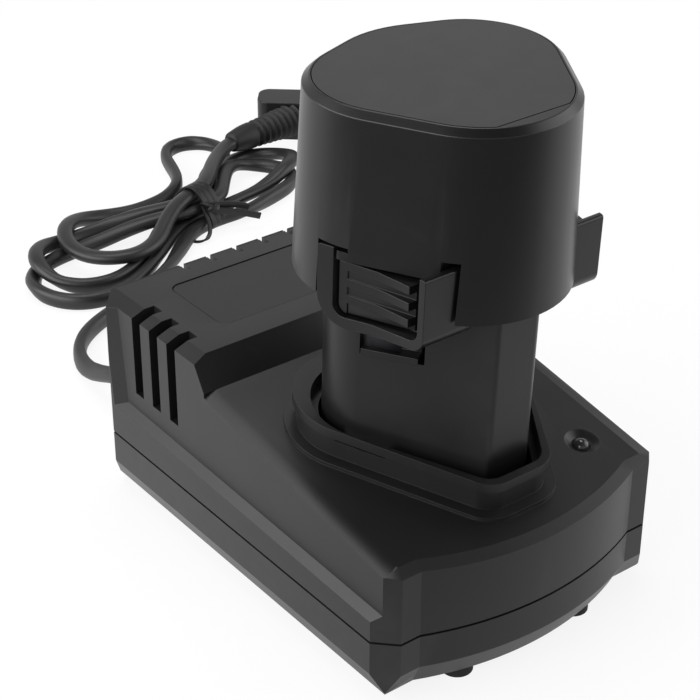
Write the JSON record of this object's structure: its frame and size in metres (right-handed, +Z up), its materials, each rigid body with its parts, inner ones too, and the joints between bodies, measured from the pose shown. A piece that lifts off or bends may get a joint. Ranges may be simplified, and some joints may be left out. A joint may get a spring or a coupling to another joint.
{
  "type": "power tool battery charger",
  "caption": "Desktop charger with a raised socket and a seated stick battery, side squeeze latches, vented rear block and a tied mains lead with plug.",
  "frame": {"origin": "middle of the charger's footprint, on the surface it stands on", "axes": "+Z up, +Y toward the rear where the lead leaves, +X to the right seen from the front"},
  "size_m": [0.1807, 0.2494, 0.1137],
  "materials": {
    "housing_plastic": "satin",
    "battery_plastic": "satin",
    "plate_plastic": "satin",
    "foot_rubber": "matte",
    "screw_steel": "satin",
    "lens_plastic": "gloss",
    "lamp_plastic": "gloss",
    "board_laminate": "satin",
    "ferrite": "matte",
    "winding_tape": "satin",
    "capacitor_sleeve": "satin",
    "bare_aluminium": "satin",
    "fuse_glass": "gloss",
    "contact_brass": "satin",
    "inner_plastic": "satin",
    "cord_pvc": "satin",
    "tie_plastic": "satin",
    "pin_metal": "satin",
    "cell_sleeve": "satin",
    "nickel": "satin",
    "spring_steel": "satin"
  },
  "bodies": {
    "charger": {"bottom_shell": "housing_plastic", "top_shell": "housing_plastic", "rubber_feet": "foot_rubber", "case_screws": "screw_steel", "label_plate": "plate_plastic", "lamp_lens": "lens_plastic", "status_lamp": "lamp_plastic", "circuit_board": "board_laminate", "board_screws": "screw_steel", "transformer_core": "ferrite", "transformer_coil": "winding_tape", "capacitors": "capacitor_sleeve", "heat_sink": "bare_aluminium", "fuse": "fuse_glass", "contact_block": "inner_plastic", "contact_blades": "contact_brass", "strain_relief": "cord_pvc", "cord_lead": "cord_pvc", "cord_hank": "cord_pvc", "cord_tie": "tie_plastic", "cord_tail": "cord_pvc", "plug_relief": "cord_pvc", "plug_body": "cord_pvc", "plug_pins": "pin_metal"},
    "battery": {"battery_stem": "battery_plastic", "battery_head": "battery_plastic", "battery_top_plate": "plate_plastic", "battery_screws": "screw_steel", "cells": "cell_sleeve", "cell_holder_lower": "inner_plastic", "cell_holder_upper": "inner_plastic", "nickel_strips": "nickel", "battery_contacts": "contact_brass", "protection_board": "board_laminate"},
    "latch_left": {"latch_left": "battery_plastic", "latch_spring_left": "spring_steel"},
    "latch_right": {"latch_right": "battery_plastic", "latch_spring_right": "spring_steel"}
  },
  "joints": [
    {"name": "battery_lift", "type": "slide", "parent": "charger", "child": "battery", "axis": [0, -0.0349, 0.9994], "range_m": [0, 0.06]},
    {"name": "left_latch_press", "type": "slide", "parent": "battery", "child": "latch_left", "axis": [1, 0, 0], "range_m": [0, 0.0012], "stiffness_N_per_m": 600, "springref_m": -0.002},
    {"name": "right_latch_press", "type": "slide", "parent": "battery", "child": "latch_right", "axis": [-1, 0, 0], "range_m": [0, 0.0012], "stiffness_N_per_m": 600, "springref_m": -0.002}
  ]
}
